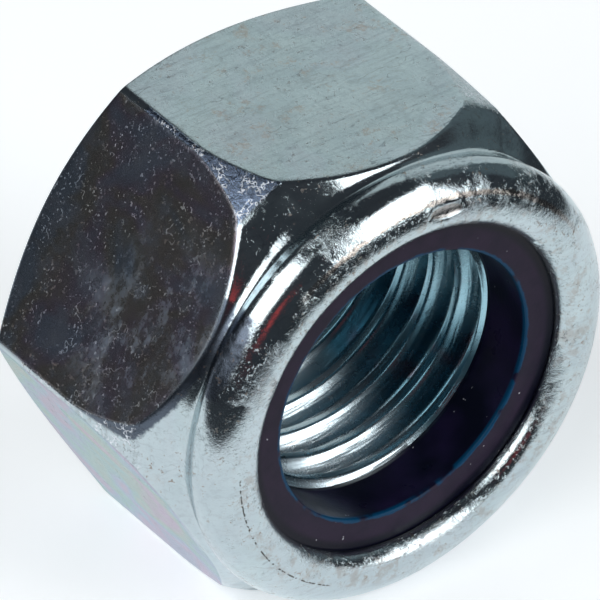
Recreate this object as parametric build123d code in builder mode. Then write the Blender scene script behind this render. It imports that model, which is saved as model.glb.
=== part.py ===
from build123d import *

import os
from math import cos, radians, sqrt, tan

# Nylon insert lock nut, M16 coarse thread, cold formed steel with a crimped-in nylon ring.
#
# Frame: millimetres. The nut lies on one of its flats with its thread axis level, so +Z points up
# out of the opposite flat and -Y points out of the nylon end. The origin is on the surface that it
# lies on, below the middle of the thread axis. It has two separate pieces: the steel body and the
# nylon ring that its collar holds.

# ---- driving dimensions -------------------------------------------------------------------
# Thread
thread_diameter = 16.0
thread_pitch = 2.0

# Hexagon
across_flats = 24.0
total_height = 16.0
corner_rounding = 0.6
corner_flare_start = 5.0  # height where the corners begin to lean in towards the shoulder
corner_lean = 0.7  # how far the corners have leaned in where they meet the shoulder cone

# Bearing end
bearing_face_diameter = 22.8
bearing_chamfer_angle = 33.0  # from the bearing face
entry_chamfer_angle = 30.0  # thread lead-in, from the bearing face
entry_chamfer_diameter = 16.9

# Shoulder and collar
collar_height = 2.7  # from the middle of a flat's upper edge to the top of the collar
shoulder_angle = 37.0  # of the cone above the hexagon, from the axis
collar_inset = 0.1  # of the collar's side from the hexagon's flats
neck_depth = 0.4  # of the groove under the collar
neck_rounding = 0.6
crown_height = 1.6  # of the collar's rounded top
lip_rounding = 0.75  # of the crimped edge, from the crown down to the nylon

# Nylon ring and its pocket
insert_recess = 1.0  # of the nylon face below the collar's top
insert_thickness = 2.9
insert_bite = 0.74  # radial, between the nylon hole and the thread's outside diameter
insert_hole_chamfer = 0.3
insert_rim_width = 0.5  # of the slope from the nylon's face up to the crimped edge
insert_clearance = 0.03  # to the pocket's wall and to the crimp
insert_width = 2.1  # radial, of the pocket outside the thread's outside diameter
lip_overlap = 0.85  # how far the crimped edge reaches in over the nylon
pocket_side_height = 1.9  # straight part of the pocket's wall, before the crimp turns inwards

# ---- derived sizes ------------------------------------------------------------------------
flat_radius = across_flats / 2
sharp_corner_radius = flat_radius / cos(radians(30))
bearing_radius = bearing_face_diameter / 2
thread_depth = 5 / 8 * sqrt(3) / 2 * thread_pitch
bore_radius = thread_diameter / 2 - thread_depth
entry_radius = entry_chamfer_diameter / 2
entry_depth = (entry_radius - bore_radius) * tan(radians(entry_chamfer_angle))

shoulder_height = total_height - collar_height
shoulder_rise = 1 / tan(radians(shoulder_angle))  # height gained for each millimetre inwards
shoulder_corner_radius = sharp_corner_radius - corner_lean
shoulder_corner_height = shoulder_height - (shoulder_corner_radius - flat_radius) * shoulder_rise

collar_radius = flat_radius - collar_inset
neck_radius = collar_radius - neck_depth
neck_height = shoulder_height + (flat_radius - neck_radius) * shoulder_rise
pocket_radius = thread_diameter / 2 + insert_width
lip_radius = pocket_radius - lip_overlap
lip_height = total_height - lip_rounding
crown_radius = lip_radius + lip_rounding
crown_width = collar_radius - crown_radius
crown_base = total_height - crown_height

insert_top = total_height - insert_recess
seat_height = insert_top - insert_thickness
insert_hole_radius = thread_diameter / 2 - insert_bite
crimp_height = seat_height + pocket_side_height
insert_radius = pocket_radius - insert_clearance
insert_rim_radius = lip_radius - insert_clearance

# ---- place in the frame -------------------------------------------------------------------
# A section is drawn with its radius across and its height above the bearing face upwards.
bearing_centre = (0, total_height / 2, flat_radius)
thread_axis = Axis(bearing_centre, (0, -1, 0))
bearing_plane = Plane(origin=bearing_centre, x_dir=(1, 0, 0), z_dir=(0, -1, 0))
section_plane = Plane(origin=bearing_centre, x_dir=(1, 0, 0), z_dir=(0, 0, -1))


# ---- steel body ---------------------------------------------------------------------------
# A hexagonal prism with rounded corners, turned down to one outer outline, so that the flats end
# in curved edges, and then bored out to one inner outline. The bore is plain, at the thread's
# minor diameter.
with BuildPart() as nut_body:
    with BuildSketch(bearing_plane):
        RegularPolygon(radius=flat_radius, side_count=6, major_radius=False)
    extrude(amount=total_height)
    fillet(nut_body.edges().filter_by(Axis.Y), radius=corner_rounding)

    with BuildSketch(section_plane):
        with BuildLine():
            bearing_end = Polyline(
                (0, 0),
                (bearing_radius, 0),
                (
                    sharp_corner_radius,
                    (sharp_corner_radius - bearing_radius) * tan(radians(bearing_chamfer_angle)),
                ),
                (sharp_corner_radius, corner_flare_start),
            )
            corner_flare = TangentArc(
                bearing_end @ 1,
                (shoulder_corner_radius, shoulder_corner_height),
                tangent=(0, 1),
            )
            FilletPolyline(
                corner_flare @ 1,
                (neck_radius, neck_height),
                (collar_radius, crown_base),
                radius=[neck_rounding],
            )
            crown = EllipticalCenterArc(
                (crown_radius, crown_base), crown_width, crown_height, arc_size=90
            )
            Polyline(crown @ 1, (0, total_height), (0, 0))
        make_face()
    revolve(axis=thread_axis, mode=Mode.INTERSECT)

    with BuildSketch(section_plane):
        with BuildLine():
            Polyline(
                (0, 0),
                (entry_radius, 0),
                (bore_radius, entry_depth),
                (bore_radius, seat_height),
                (pocket_radius, seat_height),
                (pocket_radius, crimp_height),
                (lip_radius, lip_height),
            )
            crimped_edge = CenterArc((crown_radius, lip_height), lip_rounding, 180, -90)
            Polyline(crimped_edge @ 1, (0, total_height), (0, 0))
        make_face()
    revolve(axis=thread_axis, mode=Mode.SUBTRACT)

# ---- nylon ring ---------------------------------------------------------------------------
# It fills the pocket up to the crimped edge. Its hole is smaller than the thread's outside, so the
# bolt cuts its own way through it.
with BuildPart() as nylon_insert:
    with BuildSketch(section_plane):
        with BuildLine():
            Polyline(
                (insert_hole_radius, seat_height),
                (insert_radius, seat_height),
                (insert_radius, crimp_height),
                (insert_rim_radius, lip_height - insert_clearance),
                (insert_rim_radius - insert_rim_width, insert_top),
                (insert_hole_radius + insert_hole_chamfer, insert_top),
                (insert_hole_radius, insert_top - insert_hole_chamfer),
                close=True,
            )
        make_face()
    revolve(axis=thread_axis)

nut_body.part.label = "nut_body"
nylon_insert.part.label = "nylon_insert"

os.makedirs("parts", exist_ok=True)
export_step(nut_body.part, "parts/nut_body.step")
export_step(nylon_insert.part, "parts/nylon_insert.step")
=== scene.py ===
"""Looks of the nylon insert lock nut: zinc plated steel body, dark nylon ring, studio and camera."""

from math import atan, cos, floor, pi, radians, sin, sqrt, tan
from types import SimpleNamespace

import bmesh
import bpy
from mathutils import Matrix, Vector, noise


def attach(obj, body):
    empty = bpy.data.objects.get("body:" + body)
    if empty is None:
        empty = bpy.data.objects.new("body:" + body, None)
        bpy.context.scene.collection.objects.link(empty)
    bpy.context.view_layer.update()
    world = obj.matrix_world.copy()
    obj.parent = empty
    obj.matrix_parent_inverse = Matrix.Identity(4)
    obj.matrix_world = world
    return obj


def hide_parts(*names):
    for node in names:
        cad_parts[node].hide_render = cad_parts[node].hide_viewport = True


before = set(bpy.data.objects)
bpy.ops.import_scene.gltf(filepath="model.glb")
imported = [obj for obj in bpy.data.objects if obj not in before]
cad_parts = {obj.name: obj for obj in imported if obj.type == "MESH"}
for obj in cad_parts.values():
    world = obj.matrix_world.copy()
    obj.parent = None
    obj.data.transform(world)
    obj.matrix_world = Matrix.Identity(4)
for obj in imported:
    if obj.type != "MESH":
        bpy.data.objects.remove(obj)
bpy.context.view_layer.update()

MM = 0.001

# ---- sizes in millimetres, the same as in the solids --------------------------------------
FLAT_RADIUS = 12.0
TOTAL_HEIGHT = 16.0
CORNER_ROUNDING = 0.6
CORNER_FLARE_START = 5.0
CORNER_LEAN = 0.7
BEARING_RADIUS = 11.4
BEARING_CHAMFER = radians(33)
ENTRY_RADIUS = 8.45
ENTRY_CHAMFER = radians(30)
SHOULDER_HEIGHT = 13.3
SHOULDER_ANGLE = radians(37)
COLLAR_RADIUS = 11.9
CROWN_HEIGHT = 1.6
SEAT_HEIGHT = 12.1
POCKET_RADIUS = 10.1
CRIMP_HEIGHT = 14.0
THREAD_PITCH = 2.0
MINOR_RADIUS = 6.9175
MAJOR_RADIUS = 8.0
INSERT_TOP = 15.0
INSERT_HOLE_RADIUS = 7.26
INSERT_RADIUS = 10.07

# ---- sizes in millimetres that are a little fuller or finer than in the solids ------------
CROWN_WIDTH = 2.15
LIP_ROUNDING = 0.85
INSERT_RIM_RADIUS = 8.95
INSERT_RIM_HEIGHT = 15.05

SHARP_CORNER = FLAT_RADIUS / cos(pi / 6)
SHOULDER_RISE = 1 / tan(SHOULDER_ANGLE)
LEAN_RADIUS = SHARP_CORNER - CORNER_LEAN
LEAN_HEIGHT = SHOULDER_HEIGHT - (LEAN_RADIUS - FLAT_RADIUS) * SHOULDER_RISE
FLARE_RISE = LEAN_HEIGHT - CORNER_FLARE_START
FLARE_ARC = (CORNER_LEAN ** 2 + FLARE_RISE ** 2) / (2 * CORNER_LEAN)
CROWN_RADIUS = COLLAR_RADIUS - CROWN_WIDTH
CROWN_BASE = TOTAL_HEIGHT - CROWN_HEIGHT


def place(radius, azimuth, height):
    """A point in metres, from millimetres and radians about the thread axis, above the bearing face."""
    return Vector((
        radius * cos(azimuth) * MM,
        (TOTAL_HEIGHT / 2 - height) * MM,
        (FLAT_RADIUS + radius * sin(azimuth)) * MM,
    ))


# ---- shaping helpers ----------------------------------------------------------------------
def smooth_min(a, b, width):
    """The smaller of two lengths, with the corner between them rounded over width."""
    overlap = max(width - abs(a - b), 0) / width
    return min(a, b) - overlap * overlap * width / 4


def smooth_max(a, b, width):
    return -smooth_min(-a, -b, width)


def eased(count):
    """Fractions from 0 to 1, closer together at both ends."""
    return [(1 - cos(pi * i / count)) / 2 for i in range(count + 1)]


def spread(start, stop, count):
    """Evenly spaced numbers from start up to stop, without stop itself."""
    return [start + (stop - start) * i / count for i in range(count)]


def hexagon_radius(azimuth):
    """Radius of the rounded hexagon, whose corners lie at multiples of 60 degrees."""
    off = (azimuth + pi / 6) % (pi / 3) - pi / 6
    centre = (FLAT_RADIUS - CORNER_ROUNDING) / cos(pi / 6)
    reach = atan(CORNER_ROUNDING / 2 / (centre + CORNER_ROUNDING * cos(pi / 6)))
    if abs(off) < reach:
        return centre * cos(off) + sqrt(CORNER_ROUNDING ** 2 - (centre * sin(off)) ** 2)
    return FLAT_RADIUS / cos(pi / 6 - abs(off))


# ---- steel body: outside ------------------------------------------------------------------
CHAMFER_SOFTNESS = 0.16
FLARE_SOFTNESS = 0.05
RIDGE_SOFTNESS = 0.12  # between a flat and the hollow neck; wider at the corners
RIDGE_SOFTNESS_AT_CORNER = 0.36
NECK_RADIUS = 11.7
NECK_SLOPE = 1.05  # loss of radius for each millimetre of height, from the ridge to the neck
NECK_HOLLOW = 0.22
NECK_SOFTNESS = 0.25
BULGE_CENTRE = 11.05  # of the rounded lower side of the collar
BULGE_WIDTH = 0.85
BULGE_DEPTH = 0.8
COLLAR_SIDE_START = SHOULDER_HEIGHT + 0.6

# Rows of the mesh on each stretch of the outline.
BEARING_FACE_SHARES = (0.0, 0.04, 0.5, 0.97)
CHAMFER_ROWS = 8
FLAT_ROWS = 26
NECK_ROWS = 26
CROWN_ROWS = 20
CROWN_ROWS_AT_MARKS = (78.6, 80.2, 81.8, 83.4)  # degrees round the crown, under the dent and tool line
LIP_ROWS = 10


def flare_radius(height):
    """Outline of the corners, which lean in from straight towards the shoulder."""
    rise = max(height - CORNER_FLARE_START, 0)
    return SHARP_CORNER - FLARE_ARC + sqrt(FLARE_ARC ** 2 - rise ** 2)


def neck_radius(azimuth, height):
    """The sloping side turned from a flat's upper edge inwards, hollowed where it meets the neck."""
    start = min(hexagon_radius(azimuth), LEAN_RADIUS)
    base = SHOULDER_HEIGHT - (start - FLAT_RADIUS) * SHOULDER_RISE
    return smooth_max(start - NECK_SLOPE * (height - base), NECK_RADIUS, NECK_HOLLOW)


def flank_radius(azimuth, height):
    """Outside of the hexagon, its chamfered bearing end, its ridge and the neck under the collar."""
    side = hexagon_radius(azimuth)
    at_corner = max(min((side - FLAT_RADIUS) / (LEAN_RADIUS - FLAT_RADIUS), 1), 0)
    side = smooth_min(side, flare_radius(height), FLARE_SOFTNESS)
    side = smooth_min(side, BEARING_RADIUS + height / tan(BEARING_CHAMFER), CHAMFER_SOFTNESS)
    softness = RIDGE_SOFTNESS + (RIDGE_SOFTNESS_AT_CORNER - RIDGE_SOFTNESS) * at_corner ** 3
    side = smooth_min(side, neck_radius(azimuth, height), softness)
    below = (CROWN_BASE - height) / BULGE_DEPTH
    if below < 1:
        side = smooth_max(side, BULGE_CENTRE + BULGE_WIDTH * sqrt(1 - below * below), NECK_SOFTNESS)
    return min(side, COLLAR_RADIUS) if height > COLLAR_SIDE_START else side


def upper_edge(azimuth):
    """Height at which a flat or a corner meets the shoulder or the leaning corner."""
    side = hexagon_radius(azimuth)
    if side < LEAN_RADIUS:
        return SHOULDER_HEIGHT - (side - FLAT_RADIUS) * SHOULDER_RISE
    inward = side - SHARP_CORNER + FLARE_ARC
    return CORNER_FLARE_START + sqrt(FLARE_ARC ** 2 - inward ** 2)


# Marks on the collar: azimuths and their half lengths in degrees, the rest in millimetres.
DENT_AZIMUTH, DENT_RADIUS = 83.4, 10.24
DENT_HALF_LENGTH, DENT_HALF_WIDTH, DENT_DEPTH = 5.6, 0.33, 0.13
NICK_AZIMUTH, NICK_RADIUS = 40.0, 9.05
NICK_HALF_LENGTH, NICK_HALF_WIDTH, NICK_DEPTH = 0.9, 0.2, 0.13
TOOL_LINE_RADIUS = 10.33
TOOL_LINE_HALF_WIDTH, TOOL_LINE_DEPTH = 0.06, 0.05
TOOL_LINE_FROM, TOOL_LINE_TO = -180.0, -116.0
WAVE_LENGTH, WAVE_DEPTH = 3.2, 0.035
WAVE_FADE = 1.5  # the waves grow from nothing over this height, up to the shoulder


def worn(radius, azimuth, height):
    """The outline moved in by the collar's slight waves, its dent, its nick and the line a tool left."""
    if height < SHOULDER_HEIGHT - WAVE_FADE or radius < CROWN_RADIUS - LIP_ROUNDING - 0.01:
        return radius, height
    degrees = (azimuth * 180 / pi + 180) % 360 - 180
    where = Vector((radius * cos(azimuth), radius * sin(azimuth), height)) / WAVE_LENGTH
    fade = min((height - SHOULDER_HEIGHT + WAVE_FADE) / WAVE_FADE, 1)
    wave = WAVE_DEPTH * fade * (0.5 + 0.5 * noise.noise(where))
    facing_end = min(max((height - CROWN_BASE) / CROWN_HEIGHT, 0), 1)
    radius, height = radius - wave * (1 - facing_end), height - wave * facing_end
    if height > CROWN_BASE:
        along = (degrees - DENT_AZIMUTH) / DENT_HALF_LENGTH
        across = (radius - DENT_RADIUS) / DENT_HALF_WIDTH
        height -= DENT_DEPTH * sqrt(max(1 - along ** 2 - across ** 2, 0))
        if TOOL_LINE_FROM < degrees < TOOL_LINE_TO:
            across = abs(radius - TOOL_LINE_RADIUS) / TOOL_LINE_HALF_WIDTH
            height -= TOOL_LINE_DEPTH * max(1 - across, 0)
        if abs(radius - NICK_RADIUS) < NICK_HALF_WIDTH:
            height -= NICK_DEPTH * max(1 - abs(degrees - NICK_AZIMUTH) / NICK_HALF_LENGTH, 0)
    return radius, height


def outside(azimuth):
    """Radius and height of the body's outside, from the entry chamfer over the flats to the nylon."""
    lower = (hexagon_radius(azimuth) - BEARING_RADIUS) * tan(BEARING_CHAMFER)
    upper = upper_edge(azimuth)
    points = [(ENTRY_RADIUS + (BEARING_RADIUS - ENTRY_RADIUS) * t, 0.0) for t in BEARING_FACE_SHARES]
    heights = [lower * t for t in eased(CHAMFER_ROWS)]
    heights += [lower + (upper - lower) * t for t in eased(FLAT_ROWS)[1:]]
    heights += [upper + (CROWN_BASE - upper) * t for t in eased(NECK_ROWS)[1:]]
    points += [(flank_radius(azimuth, h), h) for h in heights]
    crown_turns = [90 * step / CROWN_ROWS for step in range(1, CROWN_ROWS + 1)]
    for turn in map(radians, sorted([*crown_turns, *CROWN_ROWS_AT_MARKS])):
        points.append((CROWN_RADIUS + CROWN_WIDTH * cos(turn), CROWN_BASE + CROWN_HEIGHT * sin(turn)))
    for step in range(1, LIP_ROWS + 1):
        turn = pi / 2 * (1 + step / LIP_ROWS)
        points.append((
            CROWN_RADIUS + LIP_ROUNDING * cos(turn),
            TOTAL_HEIGHT - LIP_ROUNDING + LIP_ROUNDING * sin(turn),
        ))
    points = [worn(r, azimuth, h) for r, h in points]
    return points + [(POCKET_RADIUS, CRIMP_HEIGHT), (POCKET_RADIUS, SEAT_HEIGHT)]


def azimuths():
    """Directions of the mesh's columns, closest together at the hexagon's corners, the dent and the nick."""
    offsets = spread(0, 1.5, 5) + spread(1.5, 8, 10) + spread(8, 30, 12) + [30]
    sector = [-o for o in reversed(offsets[1:])] + offsets[:-1]
    columns = [60 * corner + o for corner in range(6) for o in sector]
    half_dent = (1.1, 3.4, 4.6, 5.6)
    half_nick = (0.45, 0.9)
    for middle, half in ((DENT_AZIMUTH, half_dent), (NICK_AZIMUTH, half_nick)):
        columns += [middle, *(middle - step for step in half), *(middle + step for step in half)]
    return [radians(column) for column in sorted(columns)]


# ---- steel body: thread -------------------------------------------------------------------
ROWS_PER_PITCH = 20
CREST_WIDTH = 0.5
CREST_SOFTNESS = 0.12
FIRST_CREST = 1.9  # height of a crest above the bearing face, at THREAD_START
THREAD_START = radians(-49.6)


def thread_radius(azimuth, height):
    """Wall of the bore: a 60 degree groove between flat crests, opened by the entry chamfer."""
    along = (height - FIRST_CREST) / THREAD_PITCH - (azimuth - THREAD_START) / (2 * pi)
    from_crest = abs(along - floor(along + 0.5)) * THREAD_PITCH
    groove = MINOR_RADIUS + (from_crest - CREST_WIDTH / 2) / tan(pi / 6)
    wall = smooth_max(MINOR_RADIUS, groove, CREST_SOFTNESS)
    wall = smooth_min(wall, MAJOR_RADIUS, CREST_SOFTNESS)
    return max(wall, ENTRY_RADIUS - height / tan(ENTRY_CHAMFER))


def bore_column(azimuth, first_azimuth):
    """Points up the bore. The rows rise with the azimuth as the helix does, so its crests stay sharp."""
    step = THREAD_PITCH / ROWS_PER_PITCH
    lift = THREAD_PITCH * (azimuth - first_azimuth) / (2 * pi)
    rows = range(-ROWS_PER_PITCH, int(SEAT_HEIGHT / step) + 2)
    heights = [min(max(row * step + lift, 0.0), SEAT_HEIGHT) for row in rows]
    return [place(thread_radius(azimuth, h), azimuth, h) for h in heights]


# ---- meshes -------------------------------------------------------------------------------
def loft_ring(name, columns, twist=0):
    """A closed surface from columns of points round the axis. Column 0 follows the last, twist rows later."""
    count, rows = len(columns), len(columns[0])
    points = [point for column in columns for point in column]
    faces = []
    for i in range(count):
        ahead = (i + 1) % count
        shift = twist if ahead == 0 else 0
        for j in range(rows - 1 - shift):
            a, b = i * rows + j, i * rows + j + 1
            c, d = ahead * rows + j + 1 + shift, ahead * rows + j + shift
            faces.append((a, d, c, b))
    mesh = bpy.data.meshes.new(name)
    mesh.from_pydata(points, [], faces)
    return mesh


def join_meshes(name, meshes, merge):
    """One smooth shaded object of several meshes, with the points that meet merged."""
    bm = bmesh.new()
    for mesh in meshes:
        bm.from_mesh(mesh)
        bpy.data.meshes.remove(mesh)
    bmesh.ops.remove_doubles(bm, verts=bm.verts, dist=merge)
    bmesh.ops.dissolve_degenerate(bm, edges=bm.edges, dist=merge)
    bmesh.ops.recalc_face_normals(bm, faces=bm.faces)
    made = bpy.data.meshes.new(name)
    bm.to_mesh(made)
    bm.free()
    made.polygons.foreach_set("use_smooth", [True] * len(made.polygons))
    piece = bpy.data.objects.new(name, made)
    bpy.context.scene.collection.objects.link(piece)
    return piece


def steel_body():
    turns = azimuths()
    shell = [[place(r, a, h) for r, h in outside(a)] for a in turns]
    # a full turn lifts the rows by one pitch, so the last column meets the first one's rows a pitch on
    bore = [bore_column(a, turns[0]) for a in turns]
    seat = [[column[-1], place(POCKET_RADIUS, a, SEAT_HEIGHT)] for column, a in zip(bore, turns)]
    meshes = [
        loft_ring("shell", shell),
        loft_ring("bore", bore, twist=ROWS_PER_PITCH),
        loft_ring("seat", seat),
    ]
    return join_meshes("steel_body", meshes, merge=1e-6)


# ---- nylon ring ---------------------------------------------------------------------------
RING_COLUMNS = 240
HOLE_ROWS = 10
HOLE_EDGE = 0.13  # rounding between the hole and the face
EDGE_ROWS = 6
FACE_ROWS, FACE_STEP = 7, 0.16
FACE_RISE = ((8.72, 0.005), (8.84, 0.02))  # radius, and height above the face, where it curls up to the rim


def ring_outline():
    """Radius and height up the hole, over its soft edge and the level face, under the crimp and back."""
    wall = INSERT_TOP - HOLE_EDGE - SEAT_HEIGHT
    outline = [(INSERT_HOLE_RADIUS, SEAT_HEIGHT + wall * t / HOLE_ROWS) for t in range(HOLE_ROWS)]
    face_start = INSERT_HOLE_RADIUS + HOLE_EDGE
    for step in range(EDGE_ROWS + 1):
        turn = pi - pi / 2 * step / EDGE_ROWS
        outline.append((face_start + HOLE_EDGE * cos(turn), INSERT_TOP - HOLE_EDGE + HOLE_EDGE * sin(turn)))
    outline += [(face_start + FACE_STEP * k, INSERT_TOP) for k in range(1, FACE_ROWS + 1)]
    outline += [(radius, INSERT_TOP + rise) for radius, rise in FACE_RISE]
    outline.append((INSERT_RIM_RADIUS, INSERT_RIM_HEIGHT))
    outline += [(INSERT_RADIUS, CRIMP_HEIGHT), (INSERT_RADIUS, SEAT_HEIGHT)]
    return outline + outline[:1]


def nylon_ring():
    outline = ring_outline()
    turns = [2 * pi * i / RING_COLUMNS for i in range(RING_COLUMNS)]
    columns = [[place(r, a, h) for r, h in outline] for a in turns]
    return join_meshes("nylon_ring", [loft_ring("ring", columns)], merge=1e-7)


# ---- material nodes -----------------------------------------------------------------------
class Graph:
    """A material's nodes, made with one short call each. Masks are 1 where they hold and 0 elsewhere."""

    def __init__(self, name):
        self.material = bpy.data.materials.new(name)
        self.material.use_nodes = True
        self.tree = self.material.node_tree
        self.shader = self.tree.nodes["Principled BSDF"]
        coordinates = self.tree.nodes.new("ShaderNodeTexCoord")
        self.place = coordinates.outputs["Object"]

    def link(self, source, target):
        """Feed a socket from a socket, or set it to a number or a tuple."""
        if isinstance(source, (int, float)):
            target.default_value = source
        elif isinstance(source, tuple):
            target.default_value = (*source, 1) if len(target.default_value) == 4 else source
        else:
            self.tree.links.new(source, target)

    def finish(self, colour, roughness, relief):
        self.link(colour, self.shader.inputs["Base Color"])
        self.link(roughness, self.shader.inputs["Roughness"])
        self.link(relief, self.shader.inputs["Normal"])
        return self.material

    def math(self, operation, a, b=0.0):
        node = self.tree.nodes.new("ShaderNodeMath")
        node.operation = operation
        self.link(a, node.inputs[0])
        self.link(b, node.inputs[1])
        return node.outputs[0]

    def chain(self, operation, values):
        total = values[0]
        for value in values[1:]:
            total = self.math(operation, total, value)
        return total

    def times(self, *values):
        return self.chain("MULTIPLY", values)

    def plus(self, *values):
        return self.chain("ADD", values)

    def most(self, *values):
        return self.chain("MAXIMUM", values)

    def minus(self, a, b):
        return self.math("SUBTRACT", a, b)

    def inverse(self, mask):
        return self.minus(1.0, mask)

    def scaled(self, per_mm, turn=(0, 0, 0)):
        """Object coordinates turned by degrees, then scaled to so many cycles a millimetre on each axis."""
        turned = self.tree.nodes.new("ShaderNodeMapping")
        turned.inputs["Rotation"].default_value = [radians(t) for t in turn]
        self.link(self.place, turned.inputs["Vector"])
        node = self.tree.nodes.new("ShaderNodeMapping")
        node.inputs["Scale"].default_value = [k / MM for k in per_mm]
        self.link(turned.outputs["Vector"], node.inputs["Vector"])
        return node.outputs["Vector"]

    def vector(self, x, y, z):
        node = self.tree.nodes.new("ShaderNodeCombineXYZ")
        for value, socket in zip((x, y, z), node.inputs):
            self.link(value, socket)
        return node.outputs[0]

    def noise(self, per_mm, turn=(0, 0, 0), **shape):
        """Noise between 0 and 1, of so many cycles a millimetre along each axis."""
        if isinstance(per_mm, (int, float)):
            per_mm = (per_mm,) * 3
        return self.noise_at(self.scaled(per_mm, turn), **shape)

    def noise_at(self, where, detail=2.0, roughness=0.5, distortion=0.0):
        node = self.tree.nodes.new("ShaderNodeTexNoise")
        self.link(where, node.inputs["Vector"])
        node.inputs["Scale"].default_value = 1.0
        node.inputs["Detail"].default_value = detail
        node.inputs["Roughness"].default_value = roughness
        node.inputs["Distortion"].default_value = distortion
        return node.outputs["Fac"]

    def step(self, value, low, high):
        """0 below low, 1 above high, and smooth between."""
        node = self.tree.nodes.new("ShaderNodeMapRange")
        node.interpolation_type = "SMOOTHSTEP"
        self.link(value, node.inputs["Value"])
        node.inputs["From Min"].default_value = low
        node.inputs["From Max"].default_value = high
        return node.outputs["Result"]

    def falls(self, value, low, high):
        """1 below low, 0 above high, and smooth between."""
        return self.inverse(self.step(value, low, high))

    def within(self, value, low, high, soft):
        """1 from low to high, and smooth over soft on each side of both."""
        return self.times(
            self.step(value, low - soft, low + soft),
            self.falls(value, high - soft, high + soft),
        )

    def patches(self, per_mm, low, high, **shape):
        """Patches where a noise has risen from low to high."""
        return self.step(self.noise(per_mm, **shape), low, high)

    def squiggles(self, per_mm, width, mask_per_mm, share):
        """Thin winding strokes: the level line of a noise, broken up by another."""
        level = self.math("ABSOLUTE", self.minus(self.noise(per_mm, detail=2.5, roughness=0.6), 0.5))
        stroke = self.falls(level, width * 0.4, width)
        return self.times(stroke, self.patches(mask_per_mm, share, share + 0.06))

    def scratches(self, per_mm, share, turn):
        """Short straight strokes: a stretched noise cut high."""
        return self.patches(per_mm, share, share + 0.05, detail=1.5, roughness=0.6, turn=turn)

    def ramp(self, value, *stops):
        """A colour for each value, from stops of a position and a colour."""
        node = self.tree.nodes.new("ShaderNodeValToRGB")
        elements = node.color_ramp.elements
        for at, colour in stops[2:]:
            elements.new(at)
        for element, (at, colour) in zip(elements, sorted(stops)):
            element.position, element.color = at, (*colour, 1)
        self.link(value, node.inputs["Fac"])
        return node.outputs["Color"]

    def blend(self, factor, a, b):
        node = self.tree.nodes.new("ShaderNodeMix")
        node.data_type = "RGBA"
        self.link(factor, node.inputs["Factor"])
        self.link(a, node.inputs[6])
        self.link(b, node.inputs[7])
        return node.outputs[2]

    def painted(self, colour, *layers):
        """A colour with layers over it, from pairs of a mask and a colour."""
        for mask, over in layers:
            colour = self.blend(mask, colour, over)
        return colour

    def near(self, centre, inner, outer):
        """1 within inner millimetres of a point, 0 beyond outer."""
        node = self.tree.nodes.new("ShaderNodeVectorMath")
        node.operation = "DISTANCE"
        self.link(self.scaled((1, 1, 1)), node.inputs[0])
        node.inputs[1].default_value = centre
        return self.falls(node.outputs["Value"], inner, outer)

    def axis(self, index):
        """One of the object coordinates, in millimetres."""
        node = self.tree.nodes.new("ShaderNodeSeparateXYZ")
        self.link(self.scaled((1, 1, 1)), node.inputs[0])
        return node.outputs[index]

    def bump(self, height, distance, under=None):
        """Normal of a relief whose height is given as a share of distance, in millimetres."""
        node = self.tree.nodes.new("ShaderNodeBump")
        self.link(height, node.inputs["Height"])
        node.inputs["Distance"].default_value = distance * MM
        node.inputs["Strength"].default_value = 1.0
        if under is not None:
            self.link(under, node.inputs["Normal"])
        return node.outputs["Normal"]


def polar(g):
    """Azimuth about the thread axis in degrees, radius and height above the bearing face, in millimetres."""
    across, up = g.axis(0), g.minus(g.axis(2), FLAT_RADIUS)
    radius = g.math("SQRT", g.plus(g.times(across, across), g.times(up, up)))
    azimuth = g.times(g.math("ARCTAN2", up, across), 180 / pi)
    return azimuth, radius, g.minus(TOTAL_HEIGHT / 2, g.axis(1))


def depth_of_flat(g, azimuth, radius):
    """Distance from the thread axis along the nearest flat's normal, in millimetres."""
    offset = g.minus(g.math("MODULO", g.plus(azimuth, 360), 60), 30)
    return g.times(radius, g.math("COSINE", g.times(offset, pi / 180)))


# ---- zinc plate: where it changes, in millimetres and in degrees about the thread axis ----
FLAT_EDGE = FLAT_RADIUS - 0.04, FLAT_RADIUS - 0.006
THREAD_MOUTH = ENTRY_RADIUS - 0.1, ENTRY_RADIUS + 0.1
# Painted shade: the flat between these azimuths is painted dark.
DARK_FLAT_AZIMUTHS = 120, 180
PASTEL_FLAT_AZIMUTHS = -180, -120
CORNER_RADII = 12.95, 13.1
CORNER_HEIGHTS = 3.5, 11.75
# Painted shade: the corner between these azimuths is painted dark blue.
DARK_CORNER_AZIMUTHS = 90, 150
COLLAR_START = 13.85, 14.2
LIP_HEIGHTS = 14.9, 15.5
LIP_RADII = 10.3, 10.9
# Painted red reflection on the thread, between these azimuths and heights.
RED_AZIMUTHS = -55, 30
RED_HEIGHTS = 4, 11.5
COLLAR_STAIN_RADII = 10.95, 11.2
COLLAR_STAIN_AZIMUTHS = 35, 128
TOOL_LINE_DARK_RADII = TOOL_LINE_RADIUS - 0.04, TOOL_LINE_RADIUS + 0.03
TOOL_LINE_DARK_AZIMUTHS = TOOL_LINE_FROM + 2, TOOL_LINE_TO - 1
# Painted shade along the rounded edge beside the painted-shade flat, at these depths and azimuths.
GRIME_DEPTHS = 11.85, 12.5
GRIME_AZIMUTHS = 140, 179.5
# The haze on the painted-shade flat, round this point: rougher, with a painted bluish sheen.
HAZE_CENTRE = (-11.2, -1.7, 16.6)
HAZE_RADII = 1.5, 6.5

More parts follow.
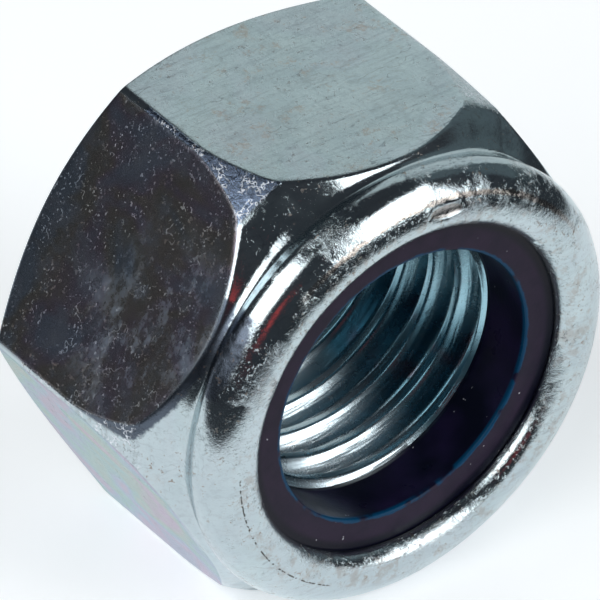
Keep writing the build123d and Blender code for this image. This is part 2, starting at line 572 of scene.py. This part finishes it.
# ---- zinc plate: colours ------------------------------------------------------------------
PLATE_STOPS = ((0.35, (0.53, 0.62, 0.65)), (0.65, (0.61, 0.705, 0.73)))
STREAK_GREY = (0.36, 0.42, 0.45)
MOTTLE_GREY = (0.38, 0.43, 0.45)
STAIN_BROWN = (0.50, 0.38, 0.30)
WRINKLE_GREY = (0.20, 0.23, 0.25)
ROUNDED_GREY = (0.41, 0.48, 0.51)
PASTEL_STOPS = (
    (0.36, (0.26, 0.30, 0.42)), (0.43, (0.36, 0.27, 0.40)), (0.49, (0.24, 0.33, 0.46)),
    (0.55, (0.19, 0.38, 0.38)), (0.62, (0.28, 0.37, 0.32)), (0.70, (0.37, 0.27, 0.38)),
)
# Painted shade: the dark colours that one flat is painted with.
DARK_FLAT_STOPS = (
    (0.34, (0.25, 0.29, 0.38)), (0.44, (0.26, 0.22, 0.28)), (0.50, (0.27, 0.24, 0.225)),
    (0.57, (0.24, 0.23, 0.205)), (0.66, (0.22, 0.27, 0.34)),
)
DARK_FLAT_CLOUD = (0.35, 0.385, 0.45)
# Painted bluish sheen in the haze.
HAZE_BLUE = (0.42, 0.51, 0.64)
# Painted shade on one corner.
CORNER_BLUE = (0.13, 0.18, 0.29)
# Painted shade along the rounded edge beside the painted-shade flat.
GRIME_BLACK = (0.05, 0.065, 0.10)
SPECK_BROWN = (0.26, 0.19, 0.14)
BLOTCH_BROWN = (0.34, 0.30, 0.27)
COLLAR_STAIN_BROWN = (0.34, 0.25, 0.19)
DENT_BROWN = (0.26, 0.21, 0.18)
TOOL_LINE_BLACK = (0.05, 0.045, 0.04)
SCRATCH_GREY = (0.48, 0.52, 0.56)
FLECK_WHITE = (0.82, 0.86, 0.92)
# Teal, with painted shade and painted highlights by azimuth.
THREAD_STOPS = (  # by share of a turn, from azimuth -180
    (0.15, (0.20, 0.30, 0.36)), (0.22, (0.60, 0.70, 0.75)), (0.31, (0.56, 0.67, 0.72)),
    (0.35, (0.15, 0.30, 0.37)), (0.43, (0.10, 0.23, 0.30)), (0.48, (0.35, 0.58, 0.67)),
    (0.60, (0.35, 0.58, 0.67)), (0.80, (0.13, 0.25, 0.31)),
)
# Painted red reflection on the thread.
THREAD_RED = (0.24, 0.04, 0.05)


def body_regions(g):
    """Polar coordinates of the body, and a mask for each of its regions."""
    at = SimpleNamespace()
    at.azimuth, at.radius, at.height = polar(g)
    at.depth = depth_of_flat(g, at.azimuth, at.radius)
    at.flat = g.step(at.depth, *FLAT_EDGE)
    at.thread = g.falls(at.radius, *THREAD_MOUTH)
    at.rounded = g.most(g.minus(g.inverse(at.flat), at.thread), 0.0)
    # painted shade: the flat that is painted dark
    at.dark_flat = g.times(at.flat, g.within(at.azimuth, *DARK_FLAT_AZIMUTHS, soft=1.0))
    at.pastel_flat = g.times(at.flat, g.within(at.azimuth, *PASTEL_FLAT_AZIMUTHS, soft=1.0))
    at.corner = g.times(
        at.rounded,
        g.step(at.radius, *CORNER_RADII),
        g.within(at.height, *CORNER_HEIGHTS, soft=0.15),
    )
    # painted shade: the corner that is painted dark blue
    at.dark_corner = g.times(at.corner, g.within(at.azimuth, *DARK_CORNER_AZIMUTHS, soft=10))
    at.collar = g.step(at.height, *COLLAR_START)
    at.lip = g.times(g.step(at.height, *LIP_HEIGHTS), g.falls(at.radius, *LIP_RADII))
    return at


def plate_colour(g, at, cloudy):
    """Pale teal plating with grey streaks and brown stains, fainter off the flats."""
    streaks = g.patches((0.5, 4, 4), 0.46, 0.70, detail=4, roughness=0.7)
    mottle = g.patches(1.1, 0.52, 0.62, detail=6, roughness=0.8)
    stain = g.patches(0.6, 0.55, 0.63, detail=7, roughness=0.85)
    wrinkle = g.squiggles((0.25, 0.6, 0.6), width=0.005, mask_per_mm=0.5, share=0.46)
    mostly_flat = g.plus(0.3, g.times(at.flat, 0.7))
    return g.painted(
        g.ramp(cloudy, *PLATE_STOPS),
        (g.times(streaks, 0.5), STREAK_GREY),
        (g.times(mottle, mostly_flat, 0.38), MOTTLE_GREY),
        (g.times(stain, mostly_flat, 0.5), STAIN_BROWN),
        (g.times(wrinkle, 0.5), WRINKLE_GREY),
    )


def dark_flat_colour(g):
    """Painted shade for one flat: clouds of dark blue, violet and brown."""
    shades = g.ramp(g.noise(0.22, detail=3, roughness=0.55, distortion=0.6), *DARK_FLAT_STOPS)
    clouds = g.patches(0.8, 0.46, 0.64, detail=6, roughness=0.78)
    return g.blend(g.times(clouds, 0.7), shades, DARK_FLAT_CLOUD)


def thread_colour(g, at):
    """Teal with painted light by azimuth: dark teal painted shade, paler painted highlights round the bottom
    of the bore, and patches of painted red reflection.
    """
    colour = g.ramp(g.math("DIVIDE", g.plus(at.azimuth, 180), 360), *THREAD_STOPS)
    red = g.times(
        g.patches(0.42, 0.56, 0.68),
        g.within(at.azimuth, *RED_AZIMUTHS, soft=12),
        g.within(at.height, *RED_HEIGHTS, soft=1.0),
    )
    return g.blend(g.times(red, 0.5), colour, THREAD_RED)


def collar_marks(g, at, ragged):
    """Layers of brown stains round the collar, in its dent and on its lip, and the tool line's dashes."""
    blotch = g.times(g.patches(1.1, 0.50, 0.64, detail=5, roughness=0.75), at.lip)
    band = g.within(g.plus(at.radius, g.times(ragged, 0.5)), *COLLAR_STAIN_RADII, soft=0.06)
    stained = g.times(band, g.within(at.azimuth, *COLLAR_STAIN_AZIMUTHS, soft=12), at.collar)
    along = g.math("DIVIDE", g.minus(at.azimuth, DENT_AZIMUTH), DENT_HALF_LENGTH)
    across = g.math("DIVIDE", g.minus(at.radius, DENT_RADIUS), DENT_HALF_WIDTH)
    dent = g.falls(g.plus(g.times(along, along), g.times(across, across)), 0.75, 1.0)
    dashes = g.times(
        g.within(at.radius, *TOOL_LINE_DARK_RADII, soft=0.02),
        g.within(at.azimuth, *TOOL_LINE_DARK_AZIMUTHS, soft=1.0),
        g.patches(4.5, 0.45, 0.52, detail=1),
        at.collar,
    )
    return (
        (g.times(blotch, 0.45), BLOTCH_BROWN),
        (g.times(stained, 0.6), COLLAR_STAIN_BROWN),
        (g.times(dent, at.collar, 0.65), DENT_BROWN),
        (dashes, TOOL_LINE_BLACK),
    )


def worn_layers(g, at):
    """Masks of the haze with its painted bluish sheen, the painted shade along the edge beside the
    painted-shade flat, the brown specks, the scratches and the flecks.
    """
    wear = SimpleNamespace()
    # haze: rougher, and painted with a bluish sheen
    haze = g.patches((0.5, 0.5, 0.3), 0.44, 0.64, detail=7, roughness=0.75)
    wear.haze = g.times(haze, at.dark_flat, g.near(HAZE_CENTRE, *HAZE_RADII))
    wear.ragged = g.noise(2.0, detail=5, roughness=0.8)
    # painted shade along the rounded edge beside the painted-shade flat
    beside = g.within(g.plus(at.depth, g.times(wear.ragged, 0.5)), *GRIME_DEPTHS, soft=0.08)
    wear.grime = g.times(beside, g.within(at.azimuth, *GRIME_AZIMUTHS, soft=0.5), at.rounded)
    wear.speck = g.times(
        g.patches(2.8, 0.61, 0.67, detail=3, roughness=0.8),
        g.patches(0.4, 0.38, 0.56, detail=3),
    )
    scratches = g.most(
        g.scratches((7, 7, 0.8), 0.69, (0, 0, 0)),
        g.scratches((6, 0.7, 6), 0.70, (35, 0, 25)),
        g.scratches((7, 7, 0.9), 0.71, (-30, 40, 0)),
        g.squiggles(0.9, width=0.005, mask_per_mm=1.0, share=0.58),
        g.patches(6.5, 0.70, 0.76, detail=1.5, roughness=0.6),
    )
    wear.scratches = g.times(scratches, g.patches(0.5, 0.40, 0.56, detail=3))
    wear.seen_scratches = g.times(wear.scratches, g.plus(0.08, g.times(at.dark_flat, 0.42)))
    wear.flecks = g.times(g.squiggles(2.4, width=0.03, mask_per_mm=1.2, share=0.44), at.corner)
    return wear


def zinc_colour(g, at, wear, cloudy):
    film = g.ramp(g.noise(0.20, detail=3, distortion=0.5, turn=(30, 0, 20)), *PASTEL_STOPS)
    return g.painted(
        plate_colour(g, at, cloudy),
        (g.plus(0.08, g.times(at.pastel_flat, 0.85)), film),
        # painted shade on one flat
        (g.times(at.dark_flat, 0.94), dark_flat_colour(g)),
        (g.times(at.rounded, 0.4), ROUNDED_GREY),
        # painted bluish sheen in the haze
        (g.times(wear.haze, 0.8), HAZE_BLUE),
        (g.times(at.dark_corner, 0.85), CORNER_BLUE),
        # painted shade along the edge beside that flat
        (g.times(wear.grime, 0.88), GRIME_BLACK),
        (g.times(wear.speck, g.plus(0.3, g.times(at.rounded, 0.4))), SPECK_BROWN),
        *collar_marks(g, at, wear.ragged),
        # the thread's teal with painted shade, highlights and red reflection
        (at.thread, thread_colour(g, at)),
        (wear.seen_scratches, SCRATCH_GREY),
        (wear.flecks, FLECK_WHITE),
    )


def zinc_roughness(g, at, wear, cloudy):
    return g.math("MINIMUM", 1.0, g.plus(
        0.09,
        g.times(at.flat, 0.12),
        g.times(cloudy, 0.06),
        g.times(wear.haze, 0.14),
        g.times(wear.seen_scratches, 0.3),
        g.times(wear.flecks, 0.35),
        g.times(wear.speck, 0.2),
        g.times(wear.grime, 0.15),
        g.times(at.thread, 0.15),
    ))


def zinc_relief(g, at, wear):
    """Fine grain, scratches, wrinkled flats, a grainy pitted collar and corners, and turned thread walls."""
    wrinkled = g.times(at.flat, g.inverse(g.times(at.dark_flat, 0.75)))
    blotchy = g.times(g.patches(0.3, 0.46, 0.58, detail=3, roughness=0.6), at.collar)
    grainy = g.most(blotchy, g.times(at.lip, 0.35), at.corner)
    grainy = g.times(g.plus(0.10, g.times(grainy, 0.9)), at.rounded)
    pits = g.patches(4.2, 0.57, 0.68, detail=3, roughness=0.75)
    along_thread = g.vector(g.times(at.azimuth, 0.03), g.times(at.height, 2.2), g.times(at.radius, 2.2))
    relief = None
    for height, distance in (
        (g.noise(7.0, detail=3, roughness=0.7), 0.005),
        (g.times(wear.scratches, at.dark_flat), 0.006),
        (g.times(g.noise(3.4, detail=5, roughness=0.75), wrinkled), 0.032),
        (g.times(g.noise(2.8, detail=5, roughness=0.75), grainy), 0.04),
        (g.times(pits, grainy), 0.022),
        (g.times(g.noise_at(along_thread), at.thread), 0.05),
    ):
        relief = g.bump(height, distance, under=relief)
    return relief


def zinc():
    """Zinc plate with a thin bright passivation, worn: haze, scratches, sparkles, pits and brown specks; with
    painted shade on one flat, one corner and the edge beside that flat, a painted bluish sheen in the haze,
    and painted shade and highlights in the thread.
    """
    g = Graph("zinc_plate")
    at = body_regions(g)
    wear = worn_layers(g, at)
    cloudy = g.noise(0.35, detail=4, roughness=0.6)
    g.shader.inputs["Metallic"].default_value = 1.0
    return g.finish(
        zinc_colour(g, at, wear, cloudy),
        zinc_roughness(g, at, wear, cloudy),
        zinc_relief(g, at, wear),
    )


# ---- nylon --------------------------------------------------------------------------------
# Painted shade: past these radii, the band under the crimp is painted near-black.
NYLON_RIM_RADII = 8.4, 8.8
HOLE_WALL = INSERT_HOLE_RADIUS + 0.01, INSERT_HOLE_RADIUS + 0.07
CUT_EDGE_RADII = 7.56, 7.64
CUT_EDGE_HEIGHTS = 14.7, 14.85
NYLON_FACE_STOPS = ((0.3, (0.011, 0.007, 0.021)), (0.7, (0.023, 0.014, 0.034)))
NYLON_WALL_STOPS = ((0.35, (0.003, 0.003, 0.012)), (0.65, (0.012, 0.008, 0.034)))
# Painted near-black shade on the band under the crimp.
NYLON_RIM = (0.002, 0.002, 0.010)
NYLON_EDGE_BLUE = (0.0, 0.045, 0.11)
DUST_GREY = (0.5, 0.5, 0.55)


def nylon():
    """Dyed nylon: matt brown violet face, darker and smoother in the hole, a smoother band under the crimp
    painted near-black as shade, blue along the cut edge of the hole.
    """
    g = Graph("dark_nylon")
    azimuth, radius, height = polar(g)
    mottled = g.noise(0.9, detail=3)
    # painted shade: the band under the crimp, painted near-black
    rim = g.step(g.plus(radius, g.times(mottled, 0.2)), *NYLON_RIM_RADII)
    in_hole = g.falls(radius, *HOLE_WALL)
    ragged = g.plus(radius, g.times(g.noise(1.5, detail=4, roughness=0.7), 0.35))
    edge = g.times(
        g.falls(ragged, *CUT_EDGE_RADII),
        g.step(height, *CUT_EDGE_HEIGHTS),
        g.patches(0.8, 0.34, 0.46, detail=3),
    )
    colour = g.painted(
        g.ramp(mottled, *NYLON_FACE_STOPS),
        (rim, NYLON_RIM),
        (in_hole, g.ramp(g.noise(0.5), *NYLON_WALL_STOPS)),
        (edge, NYLON_EDGE_BLUE),
        (g.patches(2.2, 0.735, 0.75, roughness=0.8), DUST_GREY),
    )
    matt = g.plus(0.38, g.times(mottled, 0.15))
    roughness = g.minus(matt, g.times(g.most(rim, in_hole), 0.15))
    g.shader.inputs["Specular IOR Level"].default_value = 0.15
    return g.finish(colour, roughness, g.bump(g.noise(5.0, detail=3), 0.006))


# ---- pieces -------------------------------------------------------------------------------
body = steel_body()
body.data.materials.append(zinc())
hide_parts("nut_body")
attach(body, "root")

ring = nylon_ring()
ring.data.materials.append(nylon())
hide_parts("nylon_insert")
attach(ring, "root")


# ---- studio, in metres --------------------------------------------------------------------
NUT_CENTRE = Vector((0, 0, FLAT_RADIUS * MM))
LAMP_DISTANCE = 0.5
FLOOR_RADIUS = 0.085
FLOOR_SIDES = 64
FLOOR_CENTRE = (0.015, 0.045)
FLOOR_COLOUR = (0.85, 0.87, 0.88)
FLOOR_GLOW = (0.39, 0.40, 0.41)
NO_GLOW = (0, 0, 0)
BACKGROUND_WHITE = (1, 1, 1)
ROOM_GREY = (0.040, 0.044, 0.051)


def soft_box(name, bearing, elevation, width, height, radiance, tint=(1, 1, 1)):
    """A lamp that covers width by height, in degrees, seen from the nut. Bearing 0 is +Y and 90 is +X."""
    a, e = radians(bearing), radians(elevation)
    back = Vector((sin(a) * cos(e), cos(a) * cos(e), sin(e)))
    lamp = bpy.data.lights.new(name, "AREA")
    lamp.shape = "RECTANGLE"
    lamp.size = 2 * LAMP_DISTANCE * tan(radians(width) / 2)
    lamp.size_y = 2 * LAMP_DISTANCE * tan(radians(height) / 2)
    lamp.energy = radiance * pi * lamp.size * lamp.size_y
    lamp.color = tint
    holder = bpy.data.objects.new(name, lamp)
    holder.location = NUT_CENTRE + back * LAMP_DISTANCE
    holder.rotation_mode = "QUATERNION"
    holder.rotation_quaternion = back.to_track_quat("Z", "Y")
    bpy.context.scene.collection.objects.link(holder)


def light_path(tree, rays, seen_colour, other_colour):
    """An emission of seen_colour to the rays named, and of other_colour to all others."""
    path = tree.nodes.new("ShaderNodeLightPath")
    seen = path.outputs[rays[0]]
    for ray in rays[1:]:
        either = tree.nodes.new("ShaderNodeMath")
        either.operation = "MAXIMUM"
        tree.links.new(seen, either.inputs[0])
        tree.links.new(path.outputs[ray], either.inputs[1])
        seen = either.outputs[0]
    mix = tree.nodes.new("ShaderNodeMix")
    mix.data_type = "RGBA"
    mix.inputs[6].default_value = (*other_colour, 1)
    mix.inputs[7].default_value = (*seen_colour, 1)
    tree.links.new(seen, mix.inputs["Factor"])
    return mix.outputs[2]


def studio_world():
    """White behind the nut; a dark room to the metal, whose dark sides mirror one."""
    world = bpy.data.worlds.new("studio")
    bpy.context.scene.world = world
    world.use_nodes = True
    tree = world.node_tree
    rays = ("Is Camera Ray", "Is Transmission Ray")
    colour = light_path(tree, rays, BACKGROUND_WHITE, ROOM_GREY)
    tree.links.new(colour, tree.nodes["Background"].inputs["Color"])


def studio_floor():
    """A pale matt table top, white to the camera and to the metal where no shadow lies on it."""
    points = []
    for i in range(FLOOR_SIDES):
        turn = 2 * pi * i / FLOOR_SIDES
        points.append((
            FLOOR_CENTRE[0] + FLOOR_RADIUS * cos(turn),
            FLOOR_CENTRE[1] + FLOOR_RADIUS * sin(turn),
            0,
        ))
    mesh = bpy.data.meshes.new("floor")
    mesh.from_pydata(points, [], [tuple(range(FLOOR_SIDES))])
    top = bpy.data.objects.new("floor", mesh)
    bpy.context.scene.collection.objects.link(top)
    g = Graph("pale_floor")
    g.shader.inputs["Base Color"].default_value = (*FLOOR_COLOUR, 1)
    g.shader.inputs["Roughness"].default_value = 0.9
    g.shader.inputs["Specular IOR Level"].default_value = 0.0
    rays = ("Is Camera Ray", "Is Glossy Ray", "Is Transmission Ray")
    g.link(light_path(g.tree, rays, FLOOR_GLOW, NO_GLOW), g.shader.inputs["Emission Color"])
    g.shader.inputs["Emission Strength"].default_value = 1.0
    top.data.materials.append(g.material)


soft_box("left_box", bearing=-93, elevation=41, width=60, height=40, radiance=2.9)
soft_box("front_box", bearing=155, elevation=25, width=30, height=46, radiance=4.4)
soft_box("back_panel", bearing=50, elevation=24, width=46, height=66, radiance=0.64, tint=(0.90, 1, 1))
soft_box("right_panel", bearing=92, elevation=30, width=34, height=50, radiance=0.10, tint=(0.7, 0.95, 1))
soft_box("red_card", bearing=-150, elevation=18, width=9, height=14, radiance=0.5, tint=(1, 0.06, 0.05))
studio_world()
studio_floor()


# ---- camera -------------------------------------------------------------------------------
CAMERA_BEARING = radians(-39.14)  # 0 looks along +Y
CAMERA_ELEVATION = radians(36.6)
CAMERA_ROLL = radians(2.8)
CAMERA_DISTANCE = 0.415
CAMERA_TARGET = Vector((-0.3, 0.66, 12.43)) * MM
SENSOR_WIDTH, LENS = 36, 526.8  # millimetres


def photo_camera():
    lens = bpy.data.cameras.new("camera")
    lens.sensor_width = SENSOR_WIDTH
    lens.lens = LENS
    lens.clip_start, lens.clip_end = 0.01, 20
    camera = bpy.data.objects.new("camera", lens)
    bpy.context.scene.collection.objects.link(camera)
    back = Vector((
        sin(CAMERA_BEARING) * cos(CAMERA_ELEVATION),
        -cos(CAMERA_BEARING) * cos(CAMERA_ELEVATION),
        sin(CAMERA_ELEVATION),
    ))
    turned = back.to_track_quat("Z", "Y").to_matrix() @ Matrix.Rotation(CAMERA_ROLL, 3, "Z")
    camera.matrix_world = Matrix.Translation(CAMERA_TARGET + back * CAMERA_DISTANCE) @ turned.to_4x4()
    return camera


bpy.context.scene.camera = photo_camera()
bpy.context.scene.view_settings.view_transform = "Standard"
